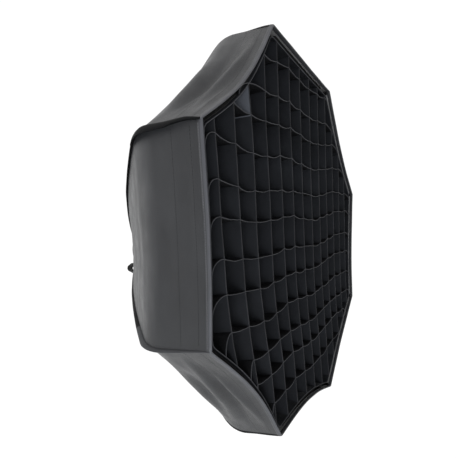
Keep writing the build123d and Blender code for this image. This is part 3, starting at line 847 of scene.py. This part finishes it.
# ---------------------------------------------------------------- grid
# How far each row has shifted, and the steps that rows and columns take across the mouth, as
# pairs of place and shift
ROW_DRIFT = (0.005, 0.011, 0.002, 0.004, 0.007, 0.002, 0.006, 0.0, 0.005, 0.006, -0.002, 0.0)
ROW_STEPS = ((-0.45, 0.0), (-0.25, 0.0), (-0.10, 0.028), (0.06, 0.030),
             (0.13, 0.042), (0.27, 0.073), (0.45, 0.088))
COLUMN_STEPS = ((-0.45, 0.070), (-0.30, 0.043), (-0.20, 0.018), (-0.10, 0.001),
                (0.0, -0.006), (0.10, -0.012), (0.25, -0.021), (0.45, -0.028))

# The columns at the left are twisted more than the rest
TWISTED_COLUMNS = 3
STRONG_TWIST = 0.008
SLIGHT_TWIST = 0.002

# One column is pulled over at the upper left, between two heights, and is painted lighter there: a
# painted highlight where it turns towards the light
PULLED_COLUMN = 2
PULLED_LIT_PART = (0.255, 0.375)
PULLED_MIDDLE = 0.315

# How far a row's ends drop to the border at most, and the share of it at the left and at the
# right. Cells with fewer points than the shortest, and shorter ends, are left out.
CORNER_FALL = 0.045
LEFT_FALL, RIGHT_FALL = 1.0, 0.35
SHORTEST_CELL = 8
SHORTEST_END = 0.004


def border_grid(shares, extra=0.0):
    """The border strip at shares of its depth, from its front edge, 0, to its rear edge, 1."""
    rings = []
    for share in shares:
        apothem = BORDER_APOTHEM - BORDER_LEAN * (1 - share) ** 1.6 + extra
        line = rim(apothem, share=1.0 - BORDER_FADE * share)
        line[:, 1] = -(GRID_FRONT - share * GRID_DEPTH)
        rings.append(line)
    return np.stack(rings, axis=1)


# Each strip has a bead along its front edge, which takes the second material slot
SHARES = np.array([0.0, BEAD_DEPTH / GRID_DEPTH, 0.25, 0.5, 0.75, 1.0])
STRIP_THICK = np.array([BEAD_HALF, BEAD_HALF, STRIP_HALF, STRIP_HALF, STRIP_HALF, STRIP_HALF])
BEAD = np.array([1, 0, 0, 0, 0])
border = Cloth()
border.shell(border_grid(SHARES), STRIP_THICK[None, :], closed=True, top=BEAD, low=BEAD)
grid_border = border.piece("grid_border_cloth", "grid", [grid_cloth, grid_edge])
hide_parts("grid_border")
FRONT_LINE = rim(BORDER_APOTHEM - BORDER_LEAN)

# Loop tape on the outside of the border
LOOP_SHARES = np.linspace(0.15, 0.75, 7)
LOOP_GAP = 0.0014
LOOP_TAPE_HALF = 0.0007
loops = Cloth()
loops.shell(border_grid(LOOP_SHARES, LOOP_GAP), LOOP_TAPE_HALF, closed=True)
loop_ribbon = loops.piece("grid_loop_ribbon", "grid", [loop_cloth])
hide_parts("grid_loop_tapes")


def strip(cloth, line, twist, kind=0):
    """A strip standing on its edge along a line of x and z, its rear edge moved by the twist.

    kind is the material slot behind its bead.
    """
    line = np.asarray(line, float)
    ahead = np.gradient(line, axis=0)
    aside = np.stack([-ahead[:, 2], 0 * ahead[:, 1], ahead[:, 0]], axis=1)
    aside /= np.linalg.norm(aside, axis=1)[:, None]
    grid = line[:, None, :] + SHARES[None, :, None] * (aside * twist[:, None])[:, None, :]
    grid[..., 1] -= GRID_FRONT - SHARES[None, :] * GRID_DEPTH
    kinds = np.where(BEAD, 1, kind)
    cloth.shell(grid, STRIP_THICK[None, :], top=kinds, low=kinds)
    cloth.run += float(lengths(line)[-1])


def column_x(c, z):
    """Where column c of the grid runs at a height z."""
    z = np.asarray(z)
    middle = (c - (COLUMN_COUNT - 1) / 2) * COLUMN_PITCH + profile(z, COLUMN_STEPS)
    if c == PULLED_COLUMN:
        middle = middle - 0.006 * bump_at(z, PULLED_MIDDLE, 0.05)
    return middle + 0.0035 * rough(z * 6, c * 4.3, 6.0) + 0.0008 * rough(z * 22, c * 2.7, 8.0)


def row_z(r, x):
    """Where row r of the grid runs, before it sags between the columns."""
    middle = (r - (ROW_COUNT - 1) / 2) * ROW_PITCH + ROW_DRIFT[r]
    return middle + profile(x, ROW_STEPS) + 0.0050 * rough(x * 9, r * 1.9, 31.0)


def inside_part(line):
    """The points of a line that lie within the border."""
    a, b = FRONT_LINE[:, None], np.roll(FRONT_LINE, -1, axis=0)[:, None]
    cut = (a[..., 2] > line[:, 2]) != (b[..., 2] > line[:, 2])
    part = (line[:, 2] - a[..., 2]) / (b[..., 2] - a[..., 2] + 1e-12)
    across = a[..., 0] + part * (b[..., 0] - a[..., 0])
    within = (cut & (line[:, 0] < across)).sum(axis=0) % 2 == 1
    return line[within]


def lay_column(cloth, c):
    """Column c, in three stretches where it is the pulled one, the middle one painted lighter."""
    z = np.linspace(-STRIP_SPAN, STRIP_SPAN, 260)
    line = inside_part(np.stack([column_x(c, z), 0 * z, z], axis=1))
    twist = 0.0030 * rough(line[:, 2] * 7, c * 3.1, 12.0)
    twist += STRONG_TWIST if c < TWISTED_COLUMNS else SLIGHT_TWIST
    if c != PULLED_COLUMN:
        strip(cloth, line, twist)
        return
    twist += 0.006 * bump_at(line[:, 2], PULLED_MIDDLE, 0.060)
    low, high = np.searchsorted(line[:, 2], PULLED_LIT_PART)
    strip(cloth, line[:low + 1], twist[:low + 1])
    # The middle stretch takes the paler slot: a painted highlight where the column turns to the light.
    strip(cloth, line[low:high + 1], twist[low:high + 1], 2)
    if high < len(line) - 2:
        strip(cloth, line[high:], twist[high:])


def column_crossings(line):
    """Where a row's line passes each of the columns that it reaches."""
    crossings = []
    for c in range(COLUMN_COUNT):
        gap = line[:, 0] - column_x(c, line[:, 2])
        hit = np.nonzero(np.diff(np.sign(gap)))[0]
        if len(hit):
            crossings.append(int(hit[0]))
    return crossings


def lay_cell(cloth, r, k, a, b, tilts):
    """The stretch of row r between its columns k and k + 1, which sags from a to b."""
    t = np.linspace(0, 1, 12)
    run = a + t[:, None] * (b - a)
    sag = 0.0032 + 0.0060 * float(rough(k * 1.3, r * 1.9, 4.0))
    ripple = 0.0011 * rough(t * 4 + 5 * k, r * 3.7, 17.0) * np.sin(math.pi * t)
    run[:, 2] += tilts[0] + t * (tilts[1] - tilts[0]) - 4 * sag * t * (1 - t) + ripple
    strip(cloth, run, 0.007 * rough(t * 1.5 + k, r * 2.1, 15.0))


def lay_end(cloth, start, end, tilt, sign):
    """A row's last stretch to the left, -1, or to the right, 1, which bends down to the border."""
    width = abs(end[0] - start[0])
    if width < SHORTEST_END:
        return
    fall = min(CORNER_FALL, 0.9 * width) * (LEFT_FALL if sign < 0 else RIGHT_FALL)
    foot = edge_at(FRONT_LINE, end[2] - fall, sign)
    t = np.linspace(0, math.pi / 2, 14)
    x = start[0] + (foot - start[0]) * np.sin(t)
    z = start[2] - fall * (1 - np.cos(t)) + tilt * np.cos(t)
    strip(cloth, np.stack([x, 0 * t, z], axis=1), 0.004 * np.sin(t))


def lay_row(cloth, r):
    """Row r, cell by cell, and then its two ends."""
    x = np.linspace(-STRIP_SPAN, STRIP_SPAN, 900)
    line = inside_part(np.stack([x, 0 * x, row_z(r, x)], axis=1))
    crossings = column_crossings(line)
    tilts = 0.0030 * rough(np.arange(20) * 1.7, r * 2.3, 5.0)
    for k, (first, last) in enumerate(zip(crossings, crossings[1:])):
        if last - first >= SHORTEST_CELL:
            lay_cell(cloth, r, k, line[first + 1], line[last], tilts[k:k + 2])
    lay_end(cloth, line[crossings[0]], line[0], tilts[0], -1)
    lay_end(cloth, line[crossings[-1] + 1], line[-1], tilts[len(crossings) - 1], 1)


columns = Cloth()
for c in range(COLUMN_COUNT):
    lay_column(columns, c)
grid_columns = columns.piece("grid_column_strips", "grid", [grid_cloth, column_edge, grid_painted_light])
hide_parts("grid_columns")

rows = Cloth()
for r in range(ROW_COUNT):
    lay_row(rows, r)
grid_rows = rows.piece("grid_row_strips", "grid", [row_cloth_painted_shade, grid_edge])
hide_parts("grid_rows")


# ---------------------------------------------------------------- diffusers
def billow(points, share):
    """Slack in the diffuser, deepest midway, with puckers near its edge."""
    x, z = points[..., 0], points[..., 2]
    swell = 0.006 * (1 - share ** 2) + 0.0035 * rough(x * 5, z * 5, 20.0) * (1 - share ** 3)
    angle = np.arctan2(z, x)
    pucker = 0.0013 * rough(angle * 22, share * 2, 21.0) * bump_at(share, 0.93, 0.09)
    return swell + pucker * (share < 0.995)


front_line = rim(DIFFUSER_APOTHEM, share=DIFFUSER_SCALLOP)
front_line[:, 1] = -DIFFUSER_REACH
front = Cloth()
front.disc(front_line, np.array([0, -DIFFUSER_REACH, 0.0]), 36, DIFFUSER_HALF, billow)
front_diffuser = front.piece("front_diffuser_cloth", "front_diffuser", [diffuser_cloth])
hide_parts("front_diffuser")

# The diffuser's hem turns back along the cover. It widens and its scallops fade on the way.
BAND_FRONT = 0.5445
BAND_WIDTH = 0.0265
BAND_SPREAD = 0.02
BAND_FADE = 2.2
BAND_HALF = 0.0007
rings = []
for reach in np.linspace(BAND_FRONT, BAND_FRONT - BAND_WIDTH, 7):
    behind = BAND_FRONT - reach
    line = rim(BORDER_APOTHEM + BAND_SPREAD * behind, share=DIFFUSER_SCALLOP - BAND_FADE * behind)
    line[:, 1] = -reach
    rings.append(line)
band_grid = np.stack(rings, axis=1)
band = Cloth()
band.shell(band_grid, BAND_HALF, closed=True)
diffuser_hem = band.piece("diffuser_hem_cloth", "front_diffuser", [diffuser_tape])
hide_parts("diffuser_hem")

# Loop tape on the outside of the hem, along four of its six steps
LOOP_BAND_GAP = 0.0022
LOOP_BAND_HALF = 0.0006
outward = band_grid[:, 1:6].copy()
outward[..., [0, 2]] *= 1 + LOOP_BAND_GAP / MOUTH[0]
band = Cloth()
band.shell(outward, LOOP_BAND_HALF, closed=True)
diffuser_loops = band.piece("diffuser_loop_ribbon", "front_diffuser", [loop_cloth])
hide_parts("diffuser_loop_tapes")

# The inner diffuser's edge is drawn in between its corner straps
inner_line = octagon(INNER_APOTHEM - INNER_INSET, [INNER_DIP] * SIDES, per_side=24)
inner_line[:, 1] -= INNER_REACH
inner = Cloth()
inner.disc(inner_line, np.array([0, -INNER_REACH, 0.0]), 24, DIFFUSER_HALF,
           lambda points, share: 0.5 * billow(points, share))
inner_diffuser = inner.piece("inner_diffuser_cloth", "box", [diffuser_cloth])
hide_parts("inner_diffuser")
